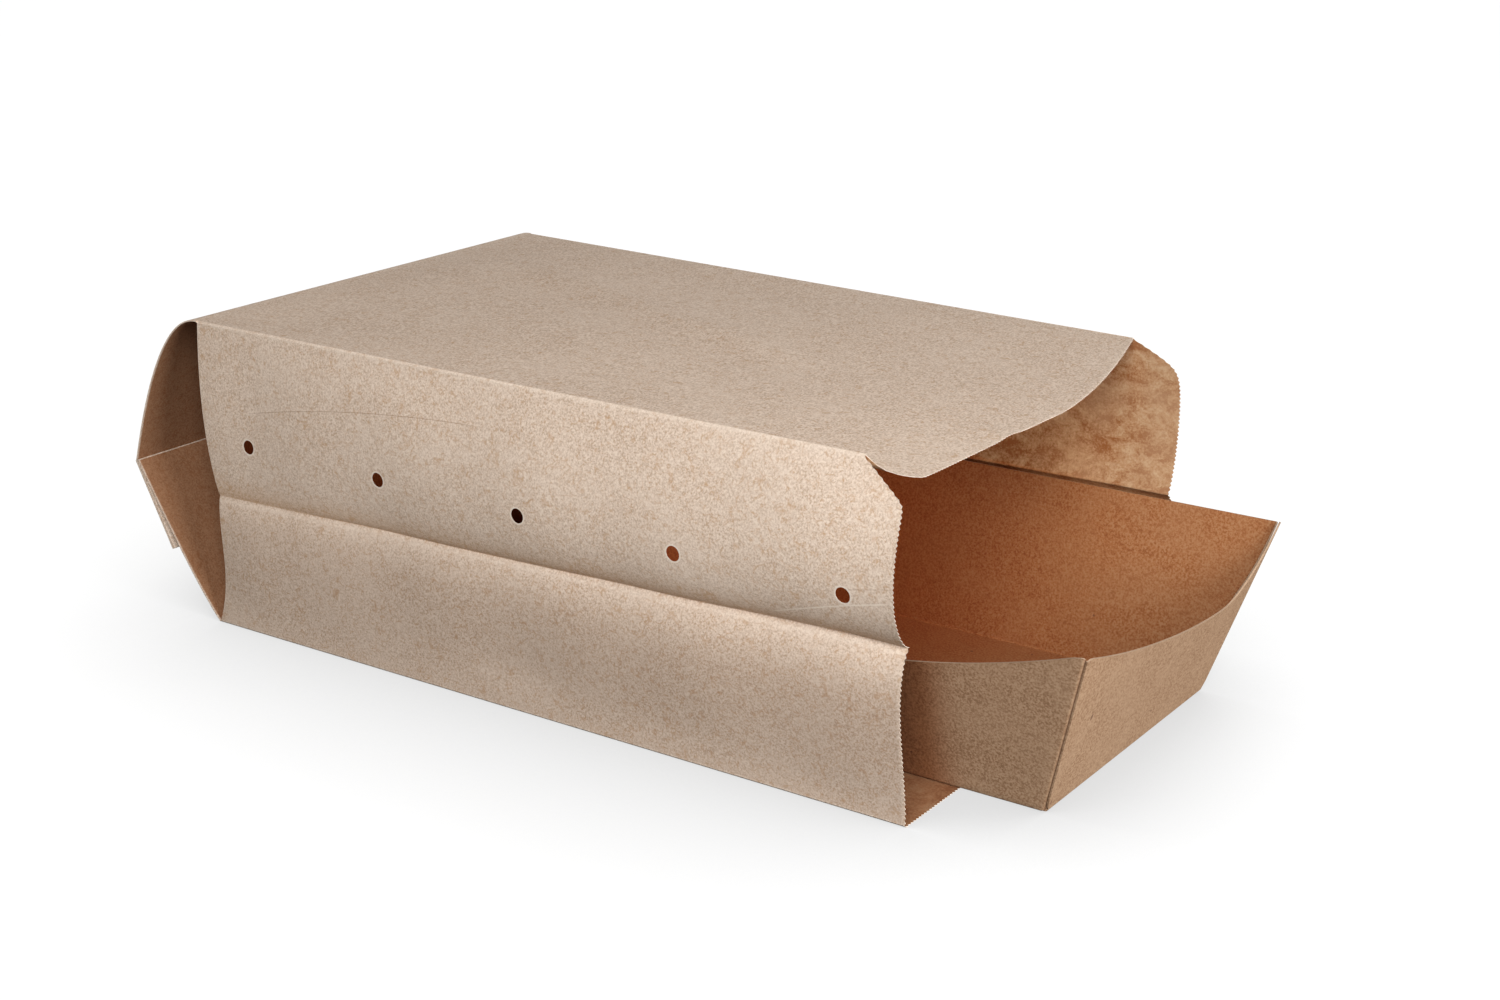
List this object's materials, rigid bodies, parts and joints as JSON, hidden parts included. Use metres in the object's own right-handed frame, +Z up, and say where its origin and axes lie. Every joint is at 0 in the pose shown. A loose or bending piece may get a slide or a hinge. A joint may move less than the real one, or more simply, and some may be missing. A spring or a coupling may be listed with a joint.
{
  "type": "perforated kraft snack bag with inner board tray",
  "caption": "Side-gusseted kraft paper bag with a pinched and folded closed end and a row of vent holes, lying flat with a folded board tray half way out of its mouth.",
  "frame": {"origin": "centre of the outer face of the bag's bottom panel, on the surface that the bag lies on", "axes": "+X along the bag from its closed end to its mouth, +Y across it away from the gusset with the vent holes, +Z up"},
  "size_m": [0.291, 0.1499, 0.087],
  "materials": {
    "kraft_paper": "uncoated natural kraft paper, fine pale fibre mottling, matt",
    "kraft_board": "uncoated natural kraft board, fine grain, matt"
  },
  "bodies": {
    "root": {"bag": "kraft_paper", "tray": "kraft_board"}
  },
  "joints": []
}
